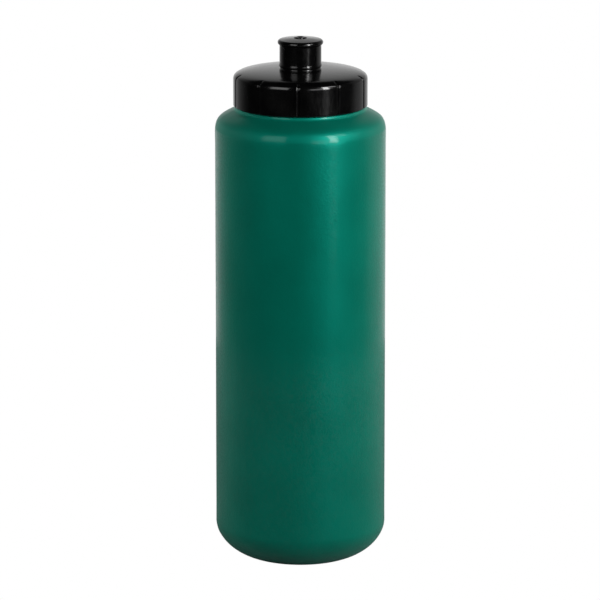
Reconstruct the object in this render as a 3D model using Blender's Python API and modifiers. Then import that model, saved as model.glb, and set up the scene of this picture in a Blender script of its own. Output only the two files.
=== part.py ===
"""Sports squeeze bottle: a blow-moulded bottle, a screw cap with a push-pull spout, and a sealing ring.

Metres, +Z up. The origin is the centre of the base, on the plane that the foot ring stands on.
The cap is screwed down and the spout is pushed in, so the bottle is shown closed.
"""

from math import asin, cos, hypot, pi, radians, sin, tan, tau

import bmesh
import bpy
from mathutils import Matrix, Vector

MM = 0.001

# Driving dimensions of the bottle.
BODY_RADIUS = 41.0 * MM
BODY_WALL = 1.2 * MM
BODY_STEPS = 48
FOOT_OUTER_RADIUS = 20.0 * MM
FOOT_INNER_RADIUS = 17.5 * MM
HEEL_HEIGHT = 17.1 * MM
HEEL_POWER = 1.84  # 2 would be an ellipse; a little less is a softer heel
PUSH_UP = 3.6 * MM  # how far the middle of the base stands above the foot ring
SHOULDER_START = 208.2 * MM
SHOULDER_HANDLE = 8.2 * MM
SHOULDER_TOP = 220.06 * MM
SHOULDER_TOP_RADIUS = 32.35 * MM
SHOULDER_TOP_HANDLE = 7.9 * MM
SHOULDER_SLOPE = radians(27.3)  # of the shoulder's flat upper part, below the horizontal
RING_TOP = 221.9 * MM  # a low ring under the cap's rim, with a hollow fillet down to the shoulder
RING_FILLET = 2.1 * MM
RING_EDGE = 0.3 * MM
NECK_RADIUS = 27.9 * MM
NECK_BORE_RADIUS = 25.9 * MM
NECK_ROOT = 222.1 * MM
NECK_TOP = 234.9 * MM
LAND_CHAMFER = 0.5 * MM

# Thread, shared by the neck and the cap.
THREAD_PITCH = 4.2 * MM
THREAD_START = 225.6 * MM  # height of the neck thread's centre line at angle 0
THREAD_SEGMENTS = 32  # for each turn
THREAD_FADE = radians(45.0)
THREAD_END_SHARE = 0.2  # of its full thickness, where a thread fades out
NECK_THREAD_RADIUS = 1.25 * MM
NECK_THREAD_ARC = (0.0, radians(440.0))
CAP_THREAD_RADIUS = 1.2 * MM
CAP_THREAD_ARC = (radians(120.0), radians(500.0))

# Driving dimensions of the cap.
CAP_RADIUS = 32.15 * MM
CAP_STEPS = 60
CAP_BORE_RADIUS = 29.8 * MM
CAP_BOTTOM = 222.3 * MM
CAP_BOTTOM_FILLET = 0.4 * MM
CAP_UNDERSIDE = 236.65 * MM  # the flat land that presses the sealing ring
CAP_INNER_CHAMFER = 0.6 * MM
LAND_INNER_RADIUS = 25.2 * MM
RECESS_RADIUS = 24.2 * MM  # inside the land, the underside follows the dome
DOME_WALL = 1.9 * MM
DOME_FOOT = 233.85 * MM  # the skirt turns into the dome here
DOME_HEIGHT = 6.47 * MM
DOME_POWER_ACROSS = 2.2
DOME_POWER_UP = 4.33
DOME_EDGE_RADIUS = 26.3 * MM  # the dome's steep outer part starts here
GROOVE_COUNT = 10
GROOVE_RADIUS = 1.0 * MM
GROOVE_DEPTH = 0.55 * MM
GROOVE_OFFSET = radians(-2.0)  # of the groove nearest the front, towards -X
GROOVE_END_RADIUS = 29.65 * MM  # the grooves run over the dome's shoulder to here
GROOVE_RUN_OUT = 2.0 * MM  # how far a cutter passes each end of its groove

# Collar on the cap's top, and the spigot that the spout slides on.
COLLAR_TOP = 240.85 * MM
COLLAR_RADIUS = 9.9 * MM
COLLAR_FILLET = 0.3 * MM
COLLAR_EDGE = 0.3 * MM
SPIGOT_RADIUS = 7.4 * MM
SPIGOT_BORE_RADIUS = 6.0 * MM
SPIGOT_TOP = 250.35 * MM
SPIGOT_CHAMFER = 0.3 * MM
SNAP_BEAD_RADIUS = 7.9 * MM
SNAP_BEAD_BOTTOM = 248.85 * MM
SNAP_BEAD_TOP = 250.0 * MM
SPOKE_COUNT = 3
SPOKE_THICKNESS = 1.3 * MM
SPOKE_BOTTOM = 242.5 * MM
SPOKE_TOP = 244.8 * MM
SPOKE_INNER = 1.0 * MM
SPOKE_OVERLAP = 0.6 * MM  # how far a spoke runs into the spigot's wall
PIN_SHAFT_RADIUS = 1.9 * MM
PIN_HEAD_RADIUS = 2.7 * MM
PIN_HEAD_BOTTOM = 251.4 * MM
PIN_TOP = 255.3 * MM
PIN_TIP_RADIUS = 2.3 * MM
PIN_TIP_BOTTOM = 253.9 * MM
PIN_EDGE = 0.4 * MM
PIN_DIMPLE_RADIUS = 1.6 * MM
PIN_DIMPLE_DEPTH = 0.5 * MM
PIN_STEPS = 24

# Driving dimensions of the spout.
SPOUT_BOTTOM = 241.15 * MM
SPOUT_TOP = 254.85 * MM  # at the edge of the drinking hole, the highest part of its crowned top
SPOUT_CROWN = 0.75 * MM
SPOUT_CROWN_RINGS = (5.5 * MM, 7.5 * MM)
SPOUT_STEPS = 40
SPOUT_RADIUS = 10.0 * MM
SPOUT_BEAD_RADIUS = 10.2 * MM
SPOUT_BEAD_HEIGHT = 1.5 * MM
SPOUT_BORE_RADIUS = 8.2 * MM
SPOUT_ROOF = 251.6 * MM
ROOF_FILLET = 0.7 * MM
CATCH_RADIUS = 7.75 * MM  # the inner lip that the snap bead stops
CATCH_HEIGHT = 1.4 * MM
LIP_RADIUS = 10.9 * MM
LIP_BOTTOM = 251.4 * MM
LIP_EDGE_RADIUS = 1.3 * MM
LIP_UNDERCUT = -60.0  # degrees: where the lip's rounding ends, under the lip
HOLE_RADIUS = 3.0 * MM
HOLE_ROUNDING = 0.3 * MM

# Sealing ring.
GASKET_INNER_RADIUS = 26.3 * MM
GASKET_OUTER_RADIUS = 29.2 * MM
GASKET_BOTTOM = 235.2 * MM
GASKET_THICKNESS = 1.15 * MM
GASKET_EDGE = 0.2 * MM

WELD = 0.00001
SMOOTH_ANGLE = radians(32.0)
GREEN = (0.0, 0.105, 0.078, 1.0)
BLACK = (0.008, 0.008, 0.009, 1.0)
RUBBER_GREY = (0.16, 0.16, 0.16, 1.0)
SATIN = 0.42
GLOSSY = 0.22
HALF_GLOSSY = 0.3
MATT = 0.7


def clear_scene():
    for obj in list(bpy.data.objects):
        bpy.data.objects.remove(obj)


def new_collection(name):
    collection = bpy.data.collections.new(name)
    bpy.context.scene.collection.children.link(collection)
    return collection


def material(name, color, roughness):
    made = bpy.data.materials.new(name)
    made.use_nodes = True
    shader = made.node_tree.nodes["Principled BSDF"]
    shader.inputs["Base Color"].default_value = color
    shader.inputs["Roughness"].default_value = roughness
    shader.inputs["Metallic"].default_value = 0.0
    made.diffuse_color = color
    return made


# Profiles: lists of (radius, height).


def arc(centre, radii, start, end, count):
    """An elliptical arc; angles in degrees, 0 along the radius and 90 up."""
    angles = [radians(start + (end - start) * i / (count - 1)) for i in range(count)]
    return [(centre[0] + radii[0] * cos(a), centre[1] + radii[1] * sin(a)) for a in angles]


def bezier(start, start_handle, end_handle, end, count):
    points = []
    for i in range(count):
        t = i / (count - 1)
        weights = ((1 - t) ** 3, 3 * (1 - t) ** 2 * t, 3 * (1 - t) * t**2, t**3)
        corners = (start, start_handle, end_handle, end)
        points.append(tuple(sum(w * c[axis] for w, c in zip(weights, corners)) for axis in (0, 1)))
    return points


def shoulder(wall_radius, start, top_radius, top, count):
    """From the outer end of the shoulder's flat upper part down to the straight wall."""
    handle = (
        top_radius + SHOULDER_TOP_HANDLE * cos(SHOULDER_SLOPE),
        top - SHOULDER_TOP_HANDLE * sin(SHOULDER_SLOPE),
    )
    return bezier((top_radius, top), handle, (wall_radius, start + SHOULDER_HANDLE), (wall_radius, start), count)


def ring(count):
    """The low ring on the shoulder: its top edge, then the hollow fillet below it."""
    centre_radius = SHOULDER_TOP_RADIUS + RING_FILLET * sin(SHOULDER_SLOPE)
    centre_height = SHOULDER_TOP + RING_FILLET * cos(SHOULDER_SLOPE)
    angles = [(pi / 2 - SHOULDER_SLOPE) * i / count for i in range(1, count)]
    fillet = [(centre_radius - RING_FILLET * cos(a), centre_height - RING_FILLET * sin(a)) for a in angles]
    outer = centre_radius - RING_FILLET
    return [(outer - RING_EDGE, RING_TOP), (outer, RING_TOP - RING_EDGE), *fillet]


def heel(wall_radius, foot_radius, height, lift, count):
    """From the straight wall down and in to the foot ring: a superellipse, lifted by lift."""
    points = []
    for i in range(count):
        angle = pi / 2 * i / (count - 1)
        out = cos(angle) ** (2 / HEEL_POWER)
        down = sin(angle) ** (2 / HEEL_POWER)
        points.append((foot_radius + (wall_radius - foot_radius) * out, lift + height * (1 - down)))
    return points


def push_up(lift, count):
    """From the foot ring to the raised middle of the base, as one half of a cosine wave."""
    radii = [FOOT_INNER_RADIUS * (1 - i / (count - 1)) for i in range(count)]
    return [(r, lift + PUSH_UP / 2 * (1 + cos(pi * r / FOOT_INNER_RADIUS))) for r in radii]


def bottle_profile():
    """Up the inside from the axis, over the rim, and down the outside to the axis."""
    inner_radius = SHOULDER_TOP_RADIUS - BODY_WALL * sin(SHOULDER_SLOPE)
    inner_top = SHOULDER_TOP - BODY_WALL * cos(SHOULDER_SLOPE)
    bore_foot = inner_top + (inner_radius - NECK_BORE_RADIUS) * tan(SHOULDER_SLOPE)
    inside = [
        (NECK_BORE_RADIUS, NECK_TOP),
        (NECK_BORE_RADIUS, bore_foot),
        *shoulder(BODY_RADIUS - BODY_WALL, SHOULDER_START, inner_radius, inner_top, 8),
        *heel(BODY_RADIUS - BODY_WALL, FOOT_OUTER_RADIUS, HEEL_HEIGHT - BODY_WALL, BODY_WALL, 9),
        *push_up(BODY_WALL, 6),
    ]
    outside = [
        (NECK_RADIUS - LAND_CHAMFER, NECK_TOP),
        (NECK_RADIUS, NECK_TOP - LAND_CHAMFER),
        (NECK_RADIUS, NECK_ROOT),
        *ring(5),
        *shoulder(BODY_RADIUS, SHOULDER_START, SHOULDER_TOP_RADIUS, SHOULDER_TOP, 10),
        *heel(BODY_RADIUS, FOOT_OUTER_RADIUS, HEEL_HEIGHT, 0.0, 10),
        *push_up(0.0, 6),
    ]
    return inside[::-1] + outside


def dome_height(radius):
    """The cap's domed top: a superellipse that meets the skirt without an edge."""
    return DOME_FOOT + DOME_HEIGHT * (1 - (radius / CAP_RADIUS) ** DOME_POWER_ACROSS) ** (1 / DOME_POWER_UP)


def dome_line(start, end, count):
    """Points over the flatter part of the dome, between two radii."""
    radii = [start + (end - start) * i / (count - 1) for i in range(count)]
    return [(r, dome_height(r)) for r in radii]


def dome_edge(inner_radius, count):
    """The steep outer part of the dome, from inner_radius out and down to the skirt."""
    first = asin((inner_radius / CAP_RADIUS) ** (DOME_POWER_ACROSS / 2))
    points = []
    for i in range(count):
        angle = first + (pi / 2 - first) * i / (count - 1)
        across = sin(angle) ** (2 / DOME_POWER_ACROSS)
        up = cos(angle) ** (2 / DOME_POWER_UP)
        points.append((CAP_RADIUS * across, DOME_FOOT + DOME_HEIGHT * up))
    return points


def cap_profile():
    """A closed loop: down the outside from the spigot's rim, and up the inside."""
    fillet_foot = COLLAR_RADIUS + COLLAR_FILLET
    bottom_centre = (CAP_RADIUS - CAP_BOTTOM_FILLET, CAP_BOTTOM + CAP_BOTTOM_FILLET)
    return [
        (SPIGOT_BORE_RADIUS, SPIGOT_TOP),
        (SPIGOT_RADIUS - SPIGOT_CHAMFER, SPIGOT_TOP),
        (SNAP_BEAD_RADIUS, SNAP_BEAD_TOP - SPIGOT_CHAMFER),
        (SNAP_BEAD_RADIUS, SNAP_BEAD_BOTTOM + SPIGOT_CHAMFER),
        (SPIGOT_RADIUS, SNAP_BEAD_BOTTOM),
        (SPIGOT_RADIUS, COLLAR_TOP),
        *arc((COLLAR_RADIUS - COLLAR_EDGE, COLLAR_TOP - COLLAR_EDGE), (COLLAR_EDGE, COLLAR_EDGE), 90, 0, 3),
        (COLLAR_RADIUS, dome_height(fillet_foot) + COLLAR_FILLET),
        *dome_line(fillet_foot, DOME_EDGE_RADIUS, 5)[:-1],
        *dome_edge(DOME_EDGE_RADIUS, 10),
        *arc(bottom_centre, (CAP_BOTTOM_FILLET, CAP_BOTTOM_FILLET), 0, -90, 4),
        (CAP_BORE_RADIUS, CAP_BOTTOM),
        (CAP_BORE_RADIUS, CAP_UNDERSIDE - CAP_INNER_CHAMFER),
        (CAP_BORE_RADIUS - CAP_INNER_CHAMFER, CAP_UNDERSIDE),
        (LAND_INNER_RADIUS, CAP_UNDERSIDE),
        *[(r, height - DOME_WALL) for r, height in dome_line(RECESS_RADIUS, SPIGOT_RADIUS, 5)],
        (SPIGOT_BORE_RADIUS, dome_height(SPIGOT_RADIUS) - DOME_WALL),
    ]


def pin_profile():
    """From the dimple in the sealing pin's head, down its outside, to its lower end."""
    return [
        (0.0, PIN_TOP - PIN_DIMPLE_DEPTH),
        (PIN_DIMPLE_RADIUS, PIN_TOP),
        (PIN_TIP_RADIUS - PIN_EDGE / 2, PIN_TOP),
        (PIN_TIP_RADIUS, PIN_TOP - PIN_EDGE / 2),
        (PIN_TIP_RADIUS, PIN_TIP_BOTTOM),
        (PIN_HEAD_RADIUS, PIN_TIP_BOTTOM - PIN_EDGE),
        (PIN_HEAD_RADIUS, PIN_HEAD_BOTTOM),
        (PIN_SHAFT_RADIUS, PIN_HEAD_BOTTOM - PIN_EDGE),
        (PIN_SHAFT_RADIUS, SPOKE_BOTTOM),
        (0.0, SPOKE_BOTTOM),
    ]


def spout_crown(radius):
    """The spout's gently crowned top."""
    return SPOUT_TOP - SPOUT_CROWN * (radius / (LIP_RADIUS - LIP_EDGE_RADIUS)) ** 2


def spout_profile():
    """A closed loop: down the outside from the drinking hole, and up the inside."""
    lip_radius = LIP_RADIUS - LIP_EDGE_RADIUS
    lip_centre = (lip_radius, spout_crown(lip_radius) - LIP_EDGE_RADIUS)
    bead_centre = (SPOUT_RADIUS, SPOUT_BOTTOM + SPOUT_BEAD_HEIGHT / 2)
    bead_radii = (SPOUT_BEAD_RADIUS - SPOUT_RADIUS, SPOUT_BEAD_HEIGHT / 2)
    return [
        (HOLE_RADIUS, spout_crown(HOLE_RADIUS) - HOLE_ROUNDING),
        *[(r, spout_crown(r)) for r in (HOLE_RADIUS + HOLE_ROUNDING, *SPOUT_CROWN_RINGS)],
        *arc(lip_centre, (LIP_EDGE_RADIUS, LIP_EDGE_RADIUS), 90, LIP_UNDERCUT, 7),
        (SPOUT_RADIUS, LIP_BOTTOM),
        *arc(bead_centre, bead_radii, 90, -90, 5),
        (CATCH_RADIUS, SPOUT_BOTTOM),
        (CATCH_RADIUS, SPOUT_BOTTOM + CATCH_HEIGHT),
        (SPOUT_BORE_RADIUS, SPOUT_BOTTOM + CATCH_HEIGHT),
        (SPOUT_BORE_RADIUS, SPOUT_ROOF - ROOF_FILLET),
        (SPOUT_BORE_RADIUS - ROOF_FILLET, SPOUT_ROOF),
        (HOLE_RADIUS, SPOUT_ROOF),
    ]


def gasket_profile():
    top = GASKET_BOTTOM + GASKET_THICKNESS
    return [
        (GASKET_INNER_RADIUS + GASKET_EDGE, top),
        (GASKET_OUTER_RADIUS - GASKET_EDGE, top),
        (GASKET_OUTER_RADIUS, top - GASKET_EDGE),
        (GASKET_OUTER_RADIUS, GASKET_BOTTOM + GASKET_EDGE),
        (GASKET_OUTER_RADIUS - GASKET_EDGE, GASKET_BOTTOM),
        (GASKET_INNER_RADIUS + GASKET_EDGE, GASKET_BOTTOM),
        (GASKET_INNER_RADIUS, GASKET_BOTTOM + GASKET_EDGE),
        (GASKET_INNER_RADIUS, top - GASKET_EDGE),
    ]


# Solids.


def turned(name, profile, steps, closed, collection):
    """The profile swept once round Z. A profile that isn't closed starts and ends on the axis."""
    count = len(profile)
    edges = [(i, (i + 1) % count) for i in range(count if closed else count - 1)]
    mesh = bpy.data.meshes.new(name)
    mesh.from_pydata([(radius, 0.0, height) for radius, height in profile], edges, [])
    obj = bpy.data.objects.new(name, mesh)
    collection.objects.link(obj)
    screw = obj.modifiers.new("Screw", "SCREW")
    screw.steps = steps
    screw.render_steps = steps
    screw.use_merge_vertices = True
    screw.merge_threshold = WELD
    return obj


def as_helper(obj):
    """Marks a solid that only cuts or joins another."""
    obj.hide_render = True
    obj.display_type = "WIRE"
    return obj


def rod(name, points, radii, collection):
    """A round bar along the points, as a closed mesh: thickness follows radii."""
    curve = bpy.data.curves.new(name, "CURVE")
    curve.dimensions = "3D"
    curve.bevel_depth = 1.0
    curve.bevel_resolution = 2
    curve.use_fill_caps = True
    spline = curve.splines.new("POLY")
    spline.points.add(len(points) - 1)
    for target, point, radius in zip(spline.points, points, radii):
        target.co = (*point, 1.0)
        target.radius = radius
    tube = bpy.data.objects.new(name + "_curve", curve)
    collection.objects.link(tube)
    graph = bpy.context.evaluated_depsgraph_get()
    mesh = bpy.data.meshes.new_from_object(tube.evaluated_get(graph))
    mesh.name = name
    obj = bpy.data.objects.new(name, mesh)
    obj.matrix_world = tube.matrix_world
    bpy.data.objects.remove(tube)
    collection.objects.link(obj)
    shape = bmesh.new()
    shape.from_mesh(mesh)
    bmesh.ops.remove_doubles(shape, verts=shape.verts, dist=WELD)
    bmesh.ops.recalc_face_normals(shape, faces=shape.faces)
    shape.to_mesh(mesh)
    shape.free()
    return as_helper(obj)


def thread(name, wall_radius, bar_radius, arc_range, height, collection):
    """A right-handed helix half sunk in the wall, which thins out at both ends."""
    first, last = arc_range
    count = round((last - first) / tau * THREAD_SEGMENTS) + 1
    angles = [first + (last - first) * i / (count - 1) for i in range(count)]
    points = [
        (wall_radius * cos(a), wall_radius * sin(a), height + THREAD_PITCH * a / tau) for a in angles
    ]
    radii = []
    for angle in angles:
        share = min(1.0, (angle - first) / THREAD_FADE, (last - angle) / THREAD_FADE)
        radii.append(bar_radius * (THREAD_END_SHARE + (1 - THREAD_END_SHARE) * sin(share * pi / 2)))
    return rod(name, points, radii, collection)


def grip_groove(index, collection):
    """A cutter that runs up the skirt and over the dome's shoulder."""
    away = GROOVE_RADIUS - GROOVE_DEPTH
    surface = dome_edge(GROOVE_END_RADIUS, 8)[::-1]
    route = [(CAP_RADIUS + away, CAP_BOTTOM - GROOVE_RUN_OUT)]
    for before, point, after in zip(surface, surface[1:], surface[2:]):
        across, up = after[0] - before[0], after[1] - before[1]
        length = hypot(across, up)
        route.append((point[0] + away * up / length, point[1] - away * across / length))
    route.append((route[-1][0] - GROOVE_RUN_OUT, route[-1][1] + GROOVE_RUN_OUT))
    turn = Matrix.Rotation(-pi / 2 + GROOVE_OFFSET + tau * index / GROOVE_COUNT, 4, "Z")
    points = [turn @ Vector((radius, 0.0, height)) for radius, height in route]
    return rod(f"groove_cutter_{index}", points, [GROOVE_RADIUS] * len(points), collection)


def spoke(index, collection):
    """A flat rib from the sealing pin to the spigot's wall."""
    outer = SPIGOT_BORE_RADIUS + SPOKE_OVERLAP
    size = Vector((outer - SPOKE_INNER, SPOKE_THICKNESS, SPOKE_TOP - SPOKE_BOTTOM))
    centre = Vector(((outer + SPOKE_INNER) / 2, 0.0, (SPOKE_TOP + SPOKE_BOTTOM) / 2))
    turn = Matrix.Rotation(pi / 2 + tau * index / SPOKE_COUNT, 4, "Z")
    shape = bmesh.new()
    bmesh.ops.create_cube(shape, size=1.0, matrix=turn @ Matrix.LocRotScale(centre, None, size))
    mesh = bpy.data.meshes.new(f"spoke_{index}")
    shape.to_mesh(mesh)
    shape.free()
    obj = bpy.data.objects.new(mesh.name, mesh)
    collection.objects.link(obj)
    return as_helper(obj)


def combine(obj, other, operation):
    boolean = obj.modifiers.new(other.name, "BOOLEAN")
    boolean.operation = operation
    boolean.object = other


def finish(obj, look):
    """Turns the modifiers into the mesh, smooths it, and gives it its material."""
    graph = bpy.context.evaluated_depsgraph_get()
    mesh = bpy.data.meshes.new_from_object(obj.evaluated_get(graph))
    mesh.name = obj.name
    obj.modifiers.clear()
    obj.data = mesh
    mesh.shade_smooth()
    mesh.set_sharp_from_angle(angle=SMOOTH_ANGLE)
    mesh.materials.clear()
    mesh.materials.append(look)


def make_bottle(parts, helpers):
    obj = turned("bottle", bottle_profile(), BODY_STEPS, False, parts)
    ridge = thread("neck_thread", NECK_RADIUS, NECK_THREAD_RADIUS, NECK_THREAD_ARC, THREAD_START, helpers)
    combine(obj, ridge, "UNION")
    finish(obj, material("bottle_green", GREEN, SATIN))


def make_screw_cap(parts, helpers):
    obj = turned("screw_cap", cap_profile(), CAP_STEPS, True, parts)
    for index in range(GROOVE_COUNT):
        combine(obj, grip_groove(index, helpers), "DIFFERENCE")
    start = THREAD_START - THREAD_PITCH / 2
    ridge = thread("cap_thread", CAP_BORE_RADIUS, CAP_THREAD_RADIUS, CAP_THREAD_ARC, start, helpers)
    combine(obj, ridge, "UNION")
    pin = as_helper(turned("sealing_pin", pin_profile(), PIN_STEPS, False, helpers))
    for index in range(SPOKE_COUNT):
        combine(pin, spoke(index, helpers), "UNION")
    combine(obj, pin, "UNION")
    finish(obj, material("cap_black", BLACK, GLOSSY))


def make_pull_spout(parts):
    obj = turned("pull_spout", spout_profile(), SPOUT_STEPS, True, parts)
    finish(obj, material("spout_black", BLACK, HALF_GLOSSY))


def make_cap_gasket(parts):
    obj = turned("cap_gasket", gasket_profile(), BODY_STEPS, True, parts)
    finish(obj, material("gasket_grey", RUBBER_GREY, MATT))


def main():
    clear_scene()
    parts = new_collection("sports_squeeze_bottle")
    helpers = new_collection("cutters")
    make_bottle(parts, helpers)
    make_screw_cap(parts, helpers)
    make_pull_spout(parts)
    make_cap_gasket(parts)


main()
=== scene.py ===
"""The looks of the sports squeeze bottle: fine meshes, moulded plastics, studio light and camera.

Metres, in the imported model's frame: +Z up, the base's centre at the origin, the camera in front at -Y.
"""

from functools import partial
from math import cos, pi, radians, sin, tan, tau

import bmesh
import bpy
import numpy as np
from mathutils import Matrix, Vector


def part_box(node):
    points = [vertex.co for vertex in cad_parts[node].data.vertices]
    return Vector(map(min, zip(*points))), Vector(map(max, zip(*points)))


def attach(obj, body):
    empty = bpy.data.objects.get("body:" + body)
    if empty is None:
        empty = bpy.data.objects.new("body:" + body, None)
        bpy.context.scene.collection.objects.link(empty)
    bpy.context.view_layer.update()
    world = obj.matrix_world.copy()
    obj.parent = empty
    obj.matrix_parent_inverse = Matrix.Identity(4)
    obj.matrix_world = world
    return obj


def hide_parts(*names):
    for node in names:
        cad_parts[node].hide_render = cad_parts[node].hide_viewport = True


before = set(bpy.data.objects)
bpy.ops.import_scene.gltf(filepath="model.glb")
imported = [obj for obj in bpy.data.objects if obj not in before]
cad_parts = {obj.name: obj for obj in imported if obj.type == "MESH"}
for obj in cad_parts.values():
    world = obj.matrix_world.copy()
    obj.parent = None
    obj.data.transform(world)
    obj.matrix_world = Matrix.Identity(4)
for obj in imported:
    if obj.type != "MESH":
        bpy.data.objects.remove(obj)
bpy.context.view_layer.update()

MM = 0.001

# Sizes that come from the frame.
_, bottle_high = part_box("bottle")
cap_low, cap_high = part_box("screw_cap")
spout_low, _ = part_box("pull_spout")
gasket_low, gasket_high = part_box("cap_gasket")
WALL_R = bottle_high.x
NECK_TOP = bottle_high.z
CAP_R = cap_high.x
CAP_BOTTOM = cap_low.z
PIN_TOP = cap_high.z
SPOUT_BOTTOM = spout_low.z

# Bottle: the same design as the CAD, drawn finer.
WALL = 1.2 * MM
FOOT_OUTER = 20.0 * MM
FOOT_INNER = 17.5 * MM
HEEL_HEIGHT = 17.1 * MM
HEEL_POWER = 1.84
PUSH_UP = 3.6 * MM
SHOULDER_START = 208.2 * MM
SHOULDER_HANDLE = 8.2 * MM
SHOULDER_TOP = 220.06 * MM
SHOULDER_TOP_R = 32.35 * MM
SHOULDER_TOP_HANDLE = 7.9 * MM
SHOULDER_SLOPE = radians(27.3)
RING_TOP = 221.9 * MM  # the low ring under the cap's rim
RING_FILLET = 2.1 * MM
RING_EDGE = 0.3 * MM
NECK_R = 27.9 * MM
NECK_BORE_R = 25.9 * MM
NECK_ROOT = 222.1 * MM
LAND_ROUNDING = 0.5 * MM
GRAIN_TOP = 211.2 * MM  # the grained wall ends here, and the polished shoulder starts
SEAM_ANGLES = (radians(8.0), radians(188.0))  # the two mould halves' parting line
SEAM_RISE = 0.07 * MM
SEAM_WIDTH = 0.28 * MM
SEAM_FADE = 6.0 * MM  # the height over which the line rises out of the foot
WAVE = 0.07 * MM  # how far the blown wall strays from straight
WAVE_FADE = 8.0 * MM
WAVE_RISE = 60.0  # radians of phase for each metre up
WAVES = 14
WAVE_SEED = 5

# Threads.
PITCH = 4.2 * MM
THREAD_START = 225.6 * MM
NECK_THREAD_ARC = (0.0, radians(440.0))
CAP_THREAD_ARC = (radians(120.0), radians(500.0))
NECK_THREAD_DEPTH = 1.15 * MM
CAP_THREAD_DEPTH = 1.1 * MM
THREAD_HALF_WIDTH = 1.2 * MM
THREAD_FLANK = 1.6  # above 1 the crest is flat, and the flanks are steeper
THREAD_FADE = radians(40.0)

# Cap.
CAP_BORE_R = 29.8 * MM
CAP_FILLET = 0.4 * MM
CAP_RIM_ROUNDING = 0.3 * MM
CAP_UNDERSIDE = 236.65 * MM
CAP_INNER_CORNER = 0.6 * MM
LAND_INNER_R = 25.2 * MM
RECESS_R = 24.2 * MM
DOME_WALL = 1.9 * MM
DOME_FOOT = 233.85 * MM
DOME_HEIGHT = 6.47 * MM
DOME_POWER_ACROSS = 2.2
DOME_POWER_UP = 4.33
DOME_EDGE_R = 26.3 * MM
GROOVES = 10
GROOVE_DEPTH = 0.5 * MM
GROOVE_WIDTH = 0.5 * MM
GROOVE_OFFSET = radians(-2.0)
GROOVE_END_R = (28.65 * MM, 30.25 * MM)  # the grooves fade out over the dome's shoulder
PANEL_CROWN = 0.1 * MM
COLLAR_TOP = 240.85 * MM
COLLAR_R = 9.9 * MM
COLLAR_FILLET = 0.3 * MM
COLLAR_EDGE = 0.3 * MM
SPIGOT_R = 7.4 * MM
SPIGOT_BORE_R = 6.0 * MM
SPIGOT_TOP = 250.35 * MM
SNAP_R = 7.9 * MM
SNAP_BOTTOM = 248.85 * MM
SNAP_TOP = 250.0 * MM
SPOKES = 3
SPOKE_THICKNESS = 1.3 * MM
SPOKE_BOTTOM = 242.5 * MM
SPOKE_TOP = 244.8 * MM
PIN_SHAFT_R = 1.9 * MM
PIN_HEAD_R = 2.7 * MM
PIN_HEAD_BOTTOM = 251.4 * MM
PIN_TIP_R = 2.3 * MM
PIN_TIP_BOTTOM = 253.9 * MM
PIN_EDGE = 0.3 * MM
PIN_DIMPLE_R = 1.6 * MM
PIN_DIMPLE = 0.5 * MM
PIN_DIMPLE_RADII = np.linspace(0.3, 1.55, 7) * MM
SPOKE_ROUNDING = 0.2 * MM

# Spout.
SPOUT_TOP = 254.85 * MM
SPOUT_CROWN = 0.75 * MM
SPOUT_R = 10.0 * MM
BEAD_R = 10.2 * MM
BEAD_HEIGHT = 1.5 * MM
SPOUT_BORE_R = 8.2 * MM
SPOUT_ROOF = 251.6 * MM
ROOF_FILLET = 0.7 * MM
CATCH_R = 7.75 * MM
CATCH_HEIGHT = 1.4 * MM
LIP_R = 10.9 * MM
LIP_BOTTOM = 251.4 * MM
LIP_EDGE = 1.3 * MM
HOLE_R = 3.0 * MM
HOLE_ROUNDING = 0.3 * MM

# Sealing ring.
GASKET_INNER_R = 26.3 * MM
GASKET_EDGE = 0.3 * MM

FRONT = -pi / 2  # the angle round Z that faces the camera


# Profiles: lists of (radius, height).


def arc(centre, radii, start, end, count):
    """An elliptical arc; angles in degrees, 0 along the radius and 90 up."""
    angles = np.radians(np.linspace(start, end, count))
    return [(centre[0] + radii[0] * cos(a), centre[1] + radii[1] * sin(a)) for a in angles]


def line(start, end, count):
    """Points from start to end, without the end itself."""
    return [tuple(np.array(start) + (np.array(end) - np.array(start)) * i / count) for i in range(count)]


def bezier(corners, count):
    """A cubic curve from the first of four corners to the last."""
    t = np.linspace(0, 1, count)[:, None]
    a, b, c, d = (np.array(corner) for corner in corners)
    points = (1 - t) ** 3 * a + 3 * (1 - t) ** 2 * t * b + 3 * (1 - t) * t**2 * c + t**3 * d
    return [tuple(point) for point in points]


def shoulder(wall_radius, top_radius, top, count):
    """From the outer end of the shoulder's flat upper part down to the straight wall."""
    handle = (
        top_radius + SHOULDER_TOP_HANDLE * cos(SHOULDER_SLOPE),
        top - SHOULDER_TOP_HANDLE * sin(SHOULDER_SLOPE),
    )
    wall_handle = (wall_radius, SHOULDER_START + SHOULDER_HANDLE)
    wall = (wall_radius, SHOULDER_START)
    return bezier(((top_radius, top), handle, wall_handle, wall), count)


def ring():
    """The low ring on the shoulder: its rounded top edge, then the hollow fillet below it."""
    centre_r = SHOULDER_TOP_R + RING_FILLET * sin(SHOULDER_SLOPE)
    centre_z = SHOULDER_TOP + RING_FILLET * cos(SHOULDER_SLOPE)
    outer = centre_r - RING_FILLET
    edge_centre = (outer - RING_EDGE, RING_TOP - RING_EDGE)
    slope_end = 270 - np.degrees(SHOULDER_SLOPE)
    fillet = arc((centre_r, centre_z), (RING_FILLET, RING_FILLET), 190, slope_end, 18)
    return [*arc(edge_centre, (RING_EDGE, RING_EDGE), 90, 0, 6), *fillet[:-1]]


def heel(wall_radius, height, lift, count):
    """The rounded bottom edge, from the wall in to the foot."""
    points = []
    for angle in np.linspace(0, pi / 2, count):
        out = cos(angle) ** (2 / HEEL_POWER)
        down = sin(angle) ** (2 / HEEL_POWER)
        points.append((FOOT_OUTER + (wall_radius - FOOT_OUTER) * out, lift + height * (1 - down)))
    return points


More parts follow.
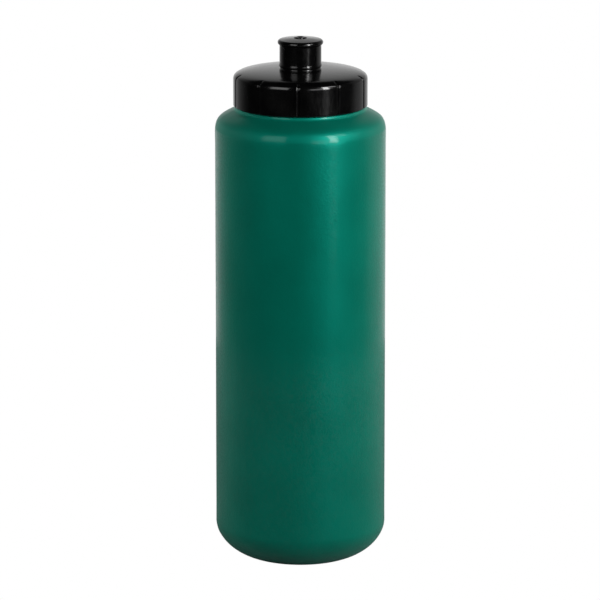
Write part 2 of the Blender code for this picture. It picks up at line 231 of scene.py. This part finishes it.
def push_up(lift, count):
    """The raised middle of the base, from the foot's inner edge to the axis."""
    radii = FOOT_INNER * (1 - np.linspace(0, 1, count))
    return [(r, lift + PUSH_UP / 2 * (1 + cos(pi * r / FOOT_INNER))) for r in radii]


# Meshes.


def column_angles(coarse, fine_at=(), fine_half_width=0.0, fine_step=0.01):
    """Angles once round Z: evenly spaced, with closer columns round each angle in fine_at."""
    angles = list(np.arange(coarse) * tau / coarse)
    for centre in fine_at:
        near = [a for a in angles if abs((a - centre + pi) % tau - pi) < fine_half_width]
        angles = [a for a in angles if a not in near]
        count = int(round(fine_half_width / fine_step))
        angles += [(centre + i * fine_step) % tau for i in range(-count, count + 1)]
    return np.unique(np.round(angles, 9))


def smooth(value, low, high):
    """0 below low, 1 above high, and an S curve between."""
    share = np.clip((value - low) / (high - low), 0, 1)
    return share * share * (3 - 2 * share)


def outward(profile, closed):
    """The unit normal at each point of a profile that runs down its outside, as two columns."""
    points = np.array(profile)
    if closed:
        along = np.roll(points, -1, axis=0) - np.roll(points, 1, axis=0)
    else:
        along = np.gradient(points, axis=0)
    along /= np.linalg.norm(along, axis=1)[:, None]
    return -along[:, 1:], along[:, :1]


def revolved(name, profile, angles, closed, moved=None):
    """The profile swept round Z as a mesh. moved(radius, height, angle, normal) may shift the points.
    A profile that isn't closed starts and ends on the axis."""
    count, columns = len(profile), len(angles)
    shape = (count, columns)
    radius = np.broadcast_to(np.array([p[0] for p in profile])[:, None], shape).copy()
    height = np.broadcast_to(np.array([p[1] for p in profile])[:, None], shape).copy()
    angle = np.broadcast_to(angles, shape)
    if moved:
        radius, height = moved(radius, height, angle, outward(profile, closed))
    points = np.stack([radius * np.cos(angle), radius * np.sin(angle), height], axis=-1).reshape(-1, 3)
    index = np.arange(count * columns).reshape(shape)
    if not closed:
        index[0, :] = index[0, 0]
        index[-1, :] = index[-1, 0]
    faces = []
    for row in range(count if closed else count - 1):
        upper, lower = index[row], index[(row + 1) % count]
        for column in range(columns):
            after = (column + 1) % columns
            corners = (upper[column], lower[column], lower[after], upper[after])
            faces.append(tuple(dict.fromkeys(int(c) for c in corners)))
    mesh = bpy.data.meshes.new(name)
    mesh.from_pydata(points.tolist(), [], faces)
    mesh.validate()
    tidy = bmesh.new()
    tidy.from_mesh(mesh)
    bmesh.ops.delete(tidy, geom=[v for v in tidy.verts if not v.link_faces], context="VERTS")
    tidy.to_mesh(mesh)
    tidy.free()
    obj = bpy.data.objects.new(name, mesh)
    bpy.context.scene.collection.objects.link(obj)
    mesh.shade_smooth()
    return obj


def thread_ridge(depth, height, angle, start, arc_range):
    """How far a thread stands out of its wall: a helix with rounded flanks and faded ends."""
    out = np.zeros_like(height)
    first, last = arc_range
    for turn in range(int(first // tau), int(last // tau) + 1):
        along = angle % tau + turn * tau
        centre = start + PITCH * along / tau
        away = np.abs(height - centre) / THREAD_HALF_WIDTH
        section = smooth(THREAD_FLANK * (1 - away**2), 0, 1)
        fade = np.clip(np.minimum(along - first, last - along) / THREAD_FADE, 0, 1)
        out = np.maximum(out, depth * section * np.sin(fade * pi / 2))
    return out


def smooth_noise(angle, height, seed, waves, rise):
    """A soft random unevenness, from -1 to 1, that closes on itself round Z."""
    rng = np.random.default_rng(seed)
    out = np.zeros_like(height)
    for _ in range(waves):
        round_waves = rng.integers(1, 7)
        up_waves = rng.uniform(-1, 1) * rise
        phase = rng.uniform(0, tau)
        out += np.sin(round_waves * angle + up_waves * height + phase)
    return out / waves


def bottle_moved(inside_rows, radius, height, angle, normal):
    """Raises the neck's thread and the parting line, and waves the wall. Only the outside moves."""
    outside = np.zeros(radius.shape, bool)
    outside[inside_rows:] = True
    in_neck = outside & (radius < NECK_R + 0.1 * MM) & (height > NECK_ROOT)
    ridge = thread_ridge(NECK_THREAD_DEPTH, height, angle, THREAD_START, NECK_THREAD_ARC)
    shift = np.where(in_neck & (height < NECK_TOP - LAND_ROUNDING), ridge, 0.0)
    wall = outside & ~in_neck & (radius > FOOT_OUTER)
    for seam in SEAM_ANGLES:
        away = ((angle - seam + pi) % tau - pi) * WALL_R
        rise = SEAM_RISE * np.clip(height / SEAM_FADE, 0, 1) * np.exp(-((away / SEAM_WIDTH) ** 2))
        shift = shift + np.where(wall, rise, 0.0)
    blend = np.clip((GRAIN_TOP - height) / WAVE_FADE, 0, 1)
    blend = blend * np.clip((height - HEEL_HEIGHT) / WAVE_FADE, 0, 1)
    wobble = WAVE * smooth_noise(angle, height, WAVE_SEED, WAVES, WAVE_RISE)
    shift = shift + np.where(wall, blend * (wobble - WAVE), 0.0)
    across = np.where(in_neck, 1.0, normal[0])
    along = np.where(in_neck, 0.0, normal[1])
    return radius + shift * across, height + shift * along


def bottle_profile():
    """Two lists: the inside, up from the middle of the base, and the outside, down from the rim."""
    inner_r = SHOULDER_TOP_R - WALL * sin(SHOULDER_SLOPE)
    inner_top = SHOULDER_TOP - WALL * cos(SHOULDER_SLOPE)
    bore_foot = inner_top + (inner_r - NECK_BORE_R) * tan(SHOULDER_SLOPE)
    inner_wall_r = WALL_R - WALL
    inside = [
        *line((NECK_BORE_R, NECK_TOP), (NECK_BORE_R, bore_foot), 4),
        *line((NECK_BORE_R, bore_foot), (inner_r, inner_top), 8),
        *shoulder(inner_wall_r, inner_r, inner_top, 24),
        *line((inner_wall_r, SHOULDER_START - MM), (inner_wall_r, HEEL_HEIGHT), 20),
        *heel(inner_wall_r, HEEL_HEIGHT - WALL, WALL, 24),
        *push_up(WALL, 14),
    ]
    rim_centre = (NECK_R - LAND_ROUNDING, NECK_TOP - LAND_ROUNDING)
    round_ring = ring()
    outside = [
        *arc(rim_centre, (LAND_ROUNDING, LAND_ROUNDING), 90, 0, 6),
        *line((NECK_R, NECK_TOP - LAND_ROUNDING - 0.1 * MM), (NECK_R, NECK_ROOT), 50),
        *line((NECK_R, NECK_ROOT), round_ring[0], 6),
        *round_ring,
        *shoulder(WALL_R, SHOULDER_TOP_R, SHOULDER_TOP, 56),
        *line((WALL_R, SHOULDER_START - MM), (WALL_R, HEEL_HEIGHT), 90),
        *heel(WALL_R, HEEL_HEIGHT, 0.0, 48),
        *push_up(0.0, 20),
    ]
    return inside[::-1], outside


def make_bottle():
    inside, outside = bottle_profile()
    angles = column_angles(176, SEAM_ANGLES, radians(1.6), radians(0.16))
    moved = partial(bottle_moved, len(inside))
    obj = revolved("squeeze_bottle", inside + outside, angles, False, moved)
    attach(obj, "bottle")
    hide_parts("bottle")
    obj.data.materials.append(bottle_plastic())


def dome_height(radius):
    """The height of the cap's domed top at a radius."""
    return DOME_FOOT + DOME_HEIGHT * (1 - (radius / CAP_R) ** DOME_POWER_ACROSS) ** (1 / DOME_POWER_UP)


def dome_line(start, end, count):
    """Points over the flatter part of the dome, between two radii."""
    return [(r, dome_height(r)) for r in np.linspace(start, end, count)]


def dome_edge(inner_radius, count):
    """The steep outer part of the dome, from inner_radius out and down to the skirt."""
    first = np.arcsin((inner_radius / CAP_R) ** (DOME_POWER_ACROSS / 2))
    points = []
    for angle in np.linspace(first, pi / 2, count):
        across = sin(angle) ** (2 / DOME_POWER_ACROSS)
        up = max(cos(angle), 0.0) ** (2 / DOME_POWER_UP)
        points.append((CAP_R * across, DOME_FOOT + DOME_HEIGHT * up))
    return points


def cap_profile():
    """Two lists: the outside, down from the spigot's rim, and the inside, up from the skirt's edge."""
    fillet_foot = COLLAR_R + COLLAR_FILLET
    rim = CAP_RIM_ROUNDING
    collar_edge = (COLLAR_R - COLLAR_EDGE, COLLAR_TOP - COLLAR_EDGE)
    fillet_centre = (fillet_foot, dome_height(fillet_foot) + COLLAR_FILLET)
    skirt_edge = (CAP_R - CAP_FILLET, CAP_BOTTOM + CAP_FILLET)
    outside = [
        *arc((SPIGOT_BORE_R + rim, SPIGOT_TOP - rim), (rim, rim), 180, 90, 5),
        *arc((SPIGOT_R - rim, SPIGOT_TOP - rim), (rim, rim), 90, 30, 4),
        *arc((SNAP_R - rim, SNAP_TOP - rim), (rim, rim), 60, 0, 4),
        *arc((SNAP_R - rim, SNAP_BOTTOM + rim), (rim, rim), 0, -60, 4),
        *line((SPIGOT_R, SNAP_BOTTOM), (SPIGOT_R, COLLAR_TOP), 12),
        (SPIGOT_R, COLLAR_TOP),
        *arc(collar_edge, (COLLAR_EDGE, COLLAR_EDGE), 90, 0, 7),
        *arc(fillet_centre, (COLLAR_FILLET, COLLAR_FILLET), 180, 265, 6),
        *dome_line(fillet_foot + 0.3 * MM, DOME_EDGE_R - 0.5 * MM, 24),
        *dome_edge(DOME_EDGE_R, 44),
        *line((CAP_R, DOME_FOOT - MM), (CAP_R, CAP_BOTTOM + CAP_FILLET), 14),
        *arc(skirt_edge, (CAP_FILLET, CAP_FILLET), 0, -90, 10),
    ]
    inside = [
        *arc((CAP_BORE_R + rim, CAP_BOTTOM + rim), (rim, rim), 270, 180, 5),
        *line((CAP_BORE_R, CAP_BOTTOM + 0.5 * MM), (CAP_BORE_R, CAP_UNDERSIDE - CAP_INNER_CORNER), 52),
        (CAP_BORE_R, CAP_UNDERSIDE - CAP_INNER_CORNER),
        *line((CAP_BORE_R - CAP_INNER_CORNER, CAP_UNDERSIDE), (LAND_INNER_R, CAP_UNDERSIDE), 5),
        (LAND_INNER_R, CAP_UNDERSIDE),
        *[(r, height - DOME_WALL) for r, height in dome_line(RECESS_R, SPIGOT_R, 14)],
        *line((SPIGOT_BORE_R, dome_height(SPIGOT_R) - DOME_WALL), (SPIGOT_BORE_R, SPIGOT_TOP - MM), 12),
    ]
    return outside, inside


def groove_angles():
    """The grip grooves' places round Z."""
    return [(FRONT + GROOVE_OFFSET + tau * i / GROOVES) % tau for i in range(GROOVES)]


def cap_moved(outside_rows, radius, height, angle, normal):
    """Cuts the grip grooves in the outside and raises the thread on the inside."""
    outside = np.zeros(radius.shape, bool)
    outside[:outside_rows] = True
    from_groove = np.min([np.abs((angle - g + pi) % tau - pi) for g in groove_angles()], axis=0)
    away = from_groove * CAP_R
    half_panel = pi * CAP_R / GROOVES
    cut = GROOVE_DEPTH * np.exp(-((away / GROOVE_WIDTH) ** 2))
    cut += PANEL_CROWN * (1 - away / half_panel) ** 4
    first, full = GROOVE_END_R
    cut = np.where(outside, cut * smooth(radius, first, full), 0.0)
    ridge = thread_ridge(CAP_THREAD_DEPTH, height, angle, THREAD_START - PITCH / 2, CAP_THREAD_ARC)
    ridge = np.where(~outside & (np.abs(radius - CAP_BORE_R) < 0.01 * MM), ridge, 0.0)
    return radius - cut * normal[0] - ridge, height - cut * normal[1]


def pin_profile():
    """The sealing pin: a dimpled tip, a wider head and a shaft."""
    dimple = [(r, PIN_TOP - PIN_DIMPLE * (1 - (r / PIN_DIMPLE_R) ** 2)) for r in PIN_DIMPLE_RADII]
    return [
        (0.0, PIN_TOP - PIN_DIMPLE),
        *dimple,
        *arc((PIN_TIP_R - PIN_EDGE, PIN_TOP - PIN_EDGE), (PIN_EDGE, PIN_EDGE), 90, 0, 6),
        (PIN_TIP_R, PIN_TIP_BOTTOM),
        *arc((PIN_HEAD_R - PIN_EDGE, PIN_TIP_BOTTOM - 2 * PIN_EDGE), (PIN_EDGE, PIN_EDGE), 90, 0, 5),
        (PIN_HEAD_R, PIN_HEAD_BOTTOM),
        (PIN_SHAFT_R, PIN_HEAD_BOTTOM - PIN_EDGE),
        *line((PIN_SHAFT_R, PIN_HEAD_BOTTOM - MM), (PIN_SHAFT_R, SPOKE_BOTTOM + PIN_EDGE), 4),
        *arc((PIN_SHAFT_R - PIN_EDGE, SPOKE_BOTTOM + PIN_EDGE), (PIN_EDGE, PIN_EDGE), 0, -90, 5),
        (0.0, SPOKE_BOTTOM),
    ]


def spoke(index):
    """A rib from the sealing pin to the spigot's wall, with softened edges."""
    inner, outer = PIN_SHAFT_R / 2, SPIGOT_BORE_R + 0.5 * MM
    size = Vector((outer - inner, SPOKE_THICKNESS, SPOKE_TOP - SPOKE_BOTTOM))
    centre = Vector(((outer + inner) / 2, 0.0, (SPOKE_TOP + SPOKE_BOTTOM) / 2))
    turn = Matrix.Rotation(pi / 2 + tau * index / SPOKES, 4, "Z")
    shape = bmesh.new()
    bmesh.ops.create_cube(shape, size=1.0, matrix=turn @ Matrix.LocRotScale(centre, None, size))
    bmesh.ops.bevel(shape, geom=shape.edges[:], offset=SPOKE_ROUNDING, segments=2, affect="EDGES")
    mesh = bpy.data.meshes.new(f"spoke_{index}")
    shape.to_mesh(mesh)
    shape.free()
    obj = bpy.data.objects.new(mesh.name, mesh)
    bpy.context.scene.collection.objects.link(obj)
    return obj


def unite(obj, others):
    """Joins the others into obj with Booleans, and removes them."""
    for other in others:
        boolean = obj.modifiers.new(other.name, "BOOLEAN")
        boolean.operation = "UNION"
        boolean.object = other
    graph = bpy.context.evaluated_depsgraph_get()
    mesh = bpy.data.meshes.new_from_object(obj.evaluated_get(graph))
    mesh.name = obj.name
    obj.modifiers.clear()
    obj.data = mesh
    for other in others:
        bpy.data.objects.remove(other)
    mesh.shade_smooth()
    mesh.set_sharp_from_angle(angle=radians(40.0))


def make_cap():
    outside, inside = cap_profile()
    angles = column_angles(220, groove_angles(), radians(2.4), radians(0.2))
    moved = partial(cap_moved, len(outside))
    obj = revolved("screw_cap_moulding", outside + inside, angles, True, moved)
    pin = revolved("sealing_pin", pin_profile(), column_angles(48), False)
    unite(obj, [pin] + [spoke(index) for index in range(SPOKES)])
    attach(obj, "cap")
    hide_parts("screw_cap")
    obj.data.materials.append(cap_plastic())


def spout_crown(radius):
    """The height of the spout's slightly domed top at a radius."""
    return SPOUT_TOP - SPOUT_CROWN * (radius / (LIP_R - LIP_EDGE)) ** 2


def spout_profile():
    """A closed outline: the top, the lip, the barrel and bead, the catch, the bore and the roof."""
    lip_r = LIP_R - LIP_EDGE
    lip_centre = (lip_r, spout_crown(lip_r) - LIP_EDGE)
    bead_centre = (SPOUT_R, SPOUT_BOTTOM + BEAD_HEIGHT / 2)
    hole_edge = (HOLE_R + HOLE_ROUNDING, spout_crown(HOLE_R + HOLE_ROUNDING) - HOLE_ROUNDING)
    under_lip = lip_centre[1] - LIP_EDGE * sin(radians(70.0))
    crown_radii = np.linspace(HOLE_R + HOLE_ROUNDING + 0.2 * MM, lip_r - 0.2 * MM, 20)
    catch_top = SPOUT_BOTTOM + CATCH_HEIGHT
    roof_corner = (SPOUT_BORE_R - ROOF_FILLET, SPOUT_ROOF - ROOF_FILLET)
    return [
        *arc(hole_edge, (HOLE_ROUNDING, HOLE_ROUNDING), 180, 92, 6),
        *[(r, spout_crown(r)) for r in crown_radii],
        *arc(lip_centre, (LIP_EDGE, LIP_EDGE), 84, -70, 22),
        *arc((SPOUT_R + 0.25 * MM, under_lip - 0.35 * MM), (0.25 * MM, 0.35 * MM), 100, 180, 6),
        *line((SPOUT_R, LIP_BOTTOM - 0.4 * MM), (SPOUT_R, SPOUT_BOTTOM + BEAD_HEIGHT + 0.3 * MM), 24),
        *arc(bead_centre, (BEAD_R - SPOUT_R, BEAD_HEIGHT / 2), 90, -90, 14),
        *line((SPOUT_R - 0.2 * MM, SPOUT_BOTTOM), (CATCH_R + 0.2 * MM, SPOUT_BOTTOM), 4),
        *arc((CATCH_R + 0.2 * MM, SPOUT_BOTTOM + 0.2 * MM), (0.2 * MM, 0.2 * MM), 270, 180, 4),
        (CATCH_R, catch_top),
        (SPOUT_BORE_R, catch_top),
        *line((SPOUT_BORE_R, catch_top + 0.5 * MM), (SPOUT_BORE_R, SPOUT_ROOF - ROOF_FILLET), 8),
        *arc(roof_corner, (ROOF_FILLET, ROOF_FILLET), 0, 90, 6),
        *line((SPOUT_BORE_R - ROOF_FILLET - 0.3 * MM, SPOUT_ROOF), (HOLE_R + 0.3 * MM, SPOUT_ROOF), 6),
        (HOLE_R, SPOUT_ROOF + 0.2 * MM),
    ]


def make_spout():
    obj = revolved("pull_spout_moulding", spout_profile(), column_angles(128), True)
    obj.data.set_sharp_from_angle(angle=radians(50.0))
    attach(obj, "spout")
    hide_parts("pull_spout")
    obj.data.materials.append(spout_plastic())


def make_gasket():
    edge = GASKET_EDGE
    inner, outer = GASKET_INNER_R + edge, gasket_high.x - edge
    low, high = gasket_low.z + edge, gasket_high.z - edge
    profile = [
        *arc((outer, high), (edge, edge), 90, 0, 5),
        *arc((outer, low), (edge, edge), 0, -90, 5),
        *arc((inner, low), (edge, edge), 270, 180, 5),
        *arc((inner, high), (edge, edge), 180, 90, 5),
    ]
    obj = revolved("sealing_ring", profile, column_angles(128), True)
    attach(obj, "sealing_ring")
    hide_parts("cap_gasket")
    obj.data.materials.append(gasket_rubber())


# Materials.

GREENS = ((0.0, 0.1, 0.066, 1.0), (0.0, 0.12, 0.08, 1.0))
GREEN_SHEEN = (0.02, 1.0, 0.77, 1.0)  # the pigment colours what the surface mirrors head on
BLACKS = ((0.0012, 0.0012, 0.0014, 1.0), (0.0025, 0.0025, 0.0025, 1.0))
RUBBER_GREYS = ((0.13, 0.13, 0.128, 1.0), (0.17, 0.17, 0.168, 1.0))
TABLE_GREY = (0.25, 0.25, 0.25, 1.0)


def feed(tree, socket, value):
    """Links a socket's output to this input, or sets a plain value."""
    if isinstance(value, bpy.types.NodeSocket):
        tree.links.new(value, socket)
    else:
        socket.default_value = value


class Nodes:
    """Short calls that build one material's nodes. Texture scales are in waves for each metre."""

    def __init__(self, name):
        self.material = bpy.data.materials.new(name)
        self.material.use_nodes = True
        self.tree = self.material.node_tree
        self.shader = self.tree.nodes["Principled BSDF"]
        self.place = self.new("ShaderNodeTexCoord").outputs["Object"]

    def new(self, kind, **settings):
        node = self.tree.nodes.new(kind)
        for key, value in settings.items():
            setattr(node, key, value)
        return node

    def set(self, node, **values):
        for key, value in values.items():
            feed(self.tree, node.inputs[key.replace("_", " ")], value)
        return node

    def scaled(self, factors):
        mapping = self.new("ShaderNodeMapping")
        return self.set(mapping, Vector=self.place, Scale=factors).outputs["Vector"]

    def noise(self, scale, detail=3.0, roughness=0.55, where=None):
        node = self.new("ShaderNodeTexNoise")
        self.set(node, Vector=where or self.place, Scale=scale, Detail=detail, Roughness=roughness)
        return node.outputs["Fac"]

    def range(self, value, low, high, to_low=0.0, to_high=1.0):
        """Maps low..high onto to_low..to_high, and clamps."""
        node = self.new("ShaderNodeMapRange")
        self.set(node, Value=value, From_Min=low, From_Max=high, To_Min=to_low, To_Max=to_high)
        return node.outputs["Result"]

    def math(self, operation, a, b):
        node = self.new("ShaderNodeMath", operation=operation)
        for socket, value in zip(node.inputs, (a, b)):
            feed(self.tree, socket, value)
        return node.outputs[0]

    def mix(self, factor, colors):
        node = self.new("ShaderNodeMix", data_type="RGBA")
        for socket, value in zip((node.inputs[0], node.inputs[6], node.inputs[7]), (factor, *colors)):
            feed(self.tree, socket, value)
        return node.outputs[2]

    def bump(self, height, strength, distance, normal=None):
        node = self.new("ShaderNodeBump")
        self.set(node, Height=height, Strength=strength, Distance=distance)
        if normal:
            self.tree.links.new(normal, node.inputs["Normal"])
        return node.outputs["Normal"]

    def height(self):
        """The height above the base, in metres."""
        node = self.new("ShaderNodeSeparateXYZ")
        self.tree.links.new(self.place, node.inputs[0])
        return node.outputs["Z"]


def bottle_plastic():
    """Green polyethylene: a grained, satin wall and a smoother shoulder, under a thin, uneven gloss."""
    n = Nodes("bottle_plastic")
    up = n.height()
    grained = n.range(up, GRAIN_TOP, GRAIN_TOP + 0.6 * MM, 1.0, 0.0)
    grained = n.math("MULTIPLY", grained, n.range(up, 3 * MM, 12 * MM))
    cloud = n.noise(34.0, 3.0, 0.5)
    color = n.mix(n.range(cloud, 0.3, 0.7), GREENS)
    speckle = n.noise(1000.0, 3.0, 0.65)
    streaks = n.noise(260.0, 4.0, 0.6, where=n.scaled((1.0, 1.0, 0.22)))
    scuffs = n.noise(60.0, 6.0, 0.7, where=n.scaled((1.0, 1.0, 0.35)))
    scuffed = n.range(scuffs, 0.3, 0.75, 0.33, 0.4)
    satin = n.math("ADD", scuffed, n.range(speckle, 0.3, 0.7, -0.03, 0.05))
    polished = n.range(cloud, 0.3, 0.7, 0.48, 0.53)
    roughness = n.new("ShaderNodeMix", data_type="FLOAT")
    n.set(roughness, Factor=grained, A=polished, B=satin)
    grain = n.math("ADD", speckle, n.math("MULTIPLY", streaks, 0.8))
    normal = n.bump(grain, grained, 0.08 * MM)
    normal = n.bump(n.noise(120.0, 2.0), 0.5, 0.05 * MM, normal)
    n.set(n.shader, Base_Color=color, Roughness=roughness.outputs[0], Normal=normal)
    n.set(n.shader, IOR=1.5, Specular_IOR_Level=0.9, Specular_Tint=GREEN_SHEEN)
    mottle = n.math("MULTIPLY", grained, n.range(speckle, 0.42, 0.58, -0.4, 0.4))
    gloss = n.math("ADD", n.range(grained, 0.0, 1.0, 0.2, 0.45), mottle)
    gloss = n.math("MULTIPLY", gloss, n.range(up, 10 * MM, 120 * MM, 0.45, 1.0))
    n.set(n.shader, Coat_Weight=gloss, Coat_Roughness=0.12)
    return n.material


def black_plastic(name, roughness, mottling):
    """Glossy black moulded plastic with a little unevenness and fine handling marks."""
    n = Nodes(name)
    cloud = n.noise(90.0, 3.0)
    color = n.mix(n.range(cloud, 0.35, 0.65), BLACKS)
    marks = n.noise(900.0, 5.0, 0.7, where=n.scaled((1.0, 1.0, 0.3)))
    even = n.range(cloud, 0.3, 0.7, roughness, roughness + 0.05)
    rough = n.math("ADD", n.range(marks, 0.4, 0.8, 0.0, 0.08), even)
    normal = n.bump(n.noise(420.0, 2.0, 0.5), mottling, 0.05 * MM)
    n.set(n.shader, Base_Color=color, Roughness=rough, Normal=normal, IOR=1.49)
    return n.material


def cap_plastic():
    return black_plastic("cap_plastic", 0.1, 0.25)


def spout_plastic():
    return black_plastic("spout_plastic", 0.1, 0.8)


def gasket_rubber():
    """Matt grey rubber with a fine, dry grain."""
    n = Nodes("gasket_rubber")
    cloud = n.noise(300.0, 4.0)
    color = n.mix(n.range(cloud, 0.35, 0.65), RUBBER_GREYS)
    n.set(n.shader, Base_Color=color, Roughness=n.range(cloud, 0.3, 0.7, 0.62, 0.78))
    n.set(n.shader, Normal=n.bump(n.noise(2200.0, 2.0), 0.4, 0.04 * MM))
    return n.material


# Studio.

FLOOR_SIZE = 8.0
TABLE_RADIUS = 0.45  # the part of the floor that lights the bottle from below


def make_floor():
    """A pale sheet: plain white to the camera, and a lit matte table to everything else."""
    half = FLOOR_SIZE / 2
    mesh = bpy.data.meshes.new("studio_floor")
    corners = [(-half, -half, 0), (half, -half, 0), (half, half, 0), (-half, half, 0)]
    mesh.from_pydata(corners, [], [(0, 1, 2, 3)])
    floor = bpy.data.objects.new("studio_floor", mesh)
    bpy.context.scene.collection.objects.link(floor)
    n = Nodes("floor_paper")
    n.set(n.shader, Roughness=0.9, Base_Color=TABLE_GREY, Specular_IOR_Level=0.0)
    white = n.set(n.new("ShaderNodeEmission"), Strength=1.0)
    clear = n.new("ShaderNodeBsdfTransparent")
    length = n.new("ShaderNodeVectorMath", operation="LENGTH")
    n.tree.links.new(n.place, length.inputs[0])
    far = n.math("GREATER_THAN", length.outputs["Value"], TABLE_RADIUS)
    table = n.new("ShaderNodeMixShader")
    n.tree.links.new(far, table.inputs[0])
    n.tree.links.new(n.shader.outputs[0], table.inputs[1])
    n.tree.links.new(clear.outputs[0], table.inputs[2])
    seen = n.new("ShaderNodeMixShader")
    n.tree.links.new(n.new("ShaderNodeLightPath").outputs["Is Camera Ray"], seen.inputs[0])
    n.tree.links.new(table.outputs[0], seen.inputs[1])
    n.tree.links.new(white.outputs[0], seen.inputs[2])
    n.tree.links.new(seen.outputs[0], n.tree.nodes["Material Output"].inputs["Surface"])
    mesh.materials.append(n.material)


# How bright the surroundings are behind the bottle, by the sine of the height above the horizon,
# and how that fades towards the sides, by the cosine of the angle from straight behind.
BACKDROP_BY_HEIGHT = (
    (-0.30, 0.75),
    (-0.05, 0.85),
    (0.08, 1.0),
    (0.17, 0.75),
    (0.26, 0.55),
    (0.42, 0.49),
    (0.56, 0.4),
    (0.68, 0.0),
)
LEFT_BY_SIDE = ((0.12, 0.0), (0.38, 0.1), (0.64, 0.3), (0.87, 0.6), (1.0, 1.0))
RIGHT_BY_SIDE = ((0.12, 0.0), (0.35, 0.33), (0.62, 0.45), (0.84, 0.6), (1.0, 1.0))


def make_world():
    """White paper behind and beside the bottle, dark in front and above; the camera sees plain white."""
    world = bpy.data.worlds.new("studio")
    bpy.context.scene.world = world
    world.use_nodes = True
    tree = world.node_tree
    background = tree.nodes["Background"]
    place = tree.nodes.new("ShaderNodeTexCoord").outputs["Generated"]
    parts = tree.nodes.new("ShaderNodeSeparateXYZ")
    tree.links.new(place, parts.inputs[0])

    def math(operation, *values):
        node = tree.nodes.new("ShaderNodeMath")
        node.operation = operation
        for socket, value in zip(node.inputs, values):
            feed(tree, socket, value)
        return node.outputs[0]

    def ramp(value, stops):
        """Brightness against a value from -1 to 1."""
        node = tree.nodes.new("ShaderNodeValToRGB")
        tree.links.new(math("MULTIPLY_ADD", value, 0.5, 0.5), node.inputs[0])
        elements = node.color_ramp.elements
        while len(elements) < len(stops):
            elements.new(0.5)
        for element, (at, level) in zip(elements, stops):
            element.position = (at + 1) / 2
            element.color = (level, level, level, 1.0)
        return node.outputs[0]

    across, behind, up = parts.outputs
    flat = math("SQRT", math("SUBTRACT", 1.0, math("MULTIPLY", up, up)))
    back = math("DIVIDE", behind, math("MAXIMUM", flat, 0.01))
    right = math("GREATER_THAN", across, 0.0)
    left_part = math("MULTIPLY", ramp(back, LEFT_BY_SIDE), math("SUBTRACT", 1.0, right))
    side = math("MULTIPLY_ADD", ramp(back, RIGHT_BY_SIDE), right, left_part)
    level = math("MULTIPLY", ramp(up, BACKDROP_BY_HEIGHT), side)
    seen = tree.nodes.new("ShaderNodeLightPath").outputs["Is Camera Ray"]
    tree.links.new(math("MAXIMUM", level, seen), background.inputs["Strength"])
    background.inputs["Color"].default_value = (1.0, 1.0, 1.0, 1.0)


def strip_light(name, azimuth, half_angle, distance, bottom, top, radiance):
    """An upright softbox that faces the bottle.

    The azimuth is in degrees from the camera's side, positive to the right. half_angle is half the
    angle that the light takes up, seen from the bottle.
    """
    turn = radians(azimuth)
    light = bpy.data.lights.new(name, "AREA")
    light.shape = "RECTANGLE"
    light.size = 2 * distance * np.tan(radians(half_angle))
    light.size_y = top - bottom
    light.energy = radiance * pi * light.size * light.size_y
    obj = bpy.data.objects.new(name, light)
    obj.location = (distance * sin(turn), -distance * cos(turn), (top + bottom) / 2)
    towards = Vector((-obj.location.x, -obj.location.y, 0.0))
    obj.rotation_euler = towards.to_track_quat("-Z", "Y").to_euler()
    obj.visible_camera = False
    bpy.context.scene.collection.objects.link(obj)
    return obj


def make_lights():
    """A tall key light to the right of the camera, a fill to the left, and a light on each side."""
    strip_light("key_right", 44.0, 5.5, 0.7, 0.21, 0.7, 19.0)
    strip_light("key_spill", 25.0, 10.0, 0.7, 0.19, 0.34, 2.4)
    strip_light("key_foot", 44.0, 5.0, 0.7, 0.0, 0.2, 0.25)
    strip_light("fill_left", -36.0, 16.0, 0.8, 0.25, 0.8, 2.8)
    for light in (
        strip_light("key_core", 44.0, 3.0, 0.7, 0.21, 0.7, 32.0),
        strip_light("key_wing", 60.0, 8.0, 0.7, 0.5, 0.8, 5.0),
    ):
        light.visible_diffuse = False
    for light in (
        strip_light("side_left", -105.0, 20.0, 0.8, 0.05, 0.55, 5.0),
        strip_light("side_right", 105.0, 20.0, 0.8, 0.05, 0.55, 8.5),
    ):
        light.visible_glossy = False


# Camera: long lens, well above the bottle's middle, as close as the view needs.
CAMERA_DISTANCE = 2.255
CAMERA_SIDE = -0.0002  # the bottle stands a hair right of the frame's middle
CAMERA_HEIGHT = 0.65515
CAMERA_PITCH = radians(13.196)
CAMERA_LENS = 287.85


def make_camera():
    camera = bpy.data.cameras.new("camera")
    camera.lens = CAMERA_LENS
    camera.sensor_width = 36.0
    camera.clip_end = 20.0
    obj = bpy.data.objects.new("camera", camera)
    obj.location = (CAMERA_SIDE, -CAMERA_DISTANCE, CAMERA_HEIGHT)
    obj.rotation_euler = (pi / 2 - CAMERA_PITCH, 0.0, 0.0)
    bpy.context.scene.collection.objects.link(obj)
    bpy.context.scene.camera = obj


make_camera()
make_world()
make_lights()
make_floor()
make_bottle()
make_cap()
make_spout()
make_gasket()
bpy.context.scene.view_settings.view_transform = "Standard"
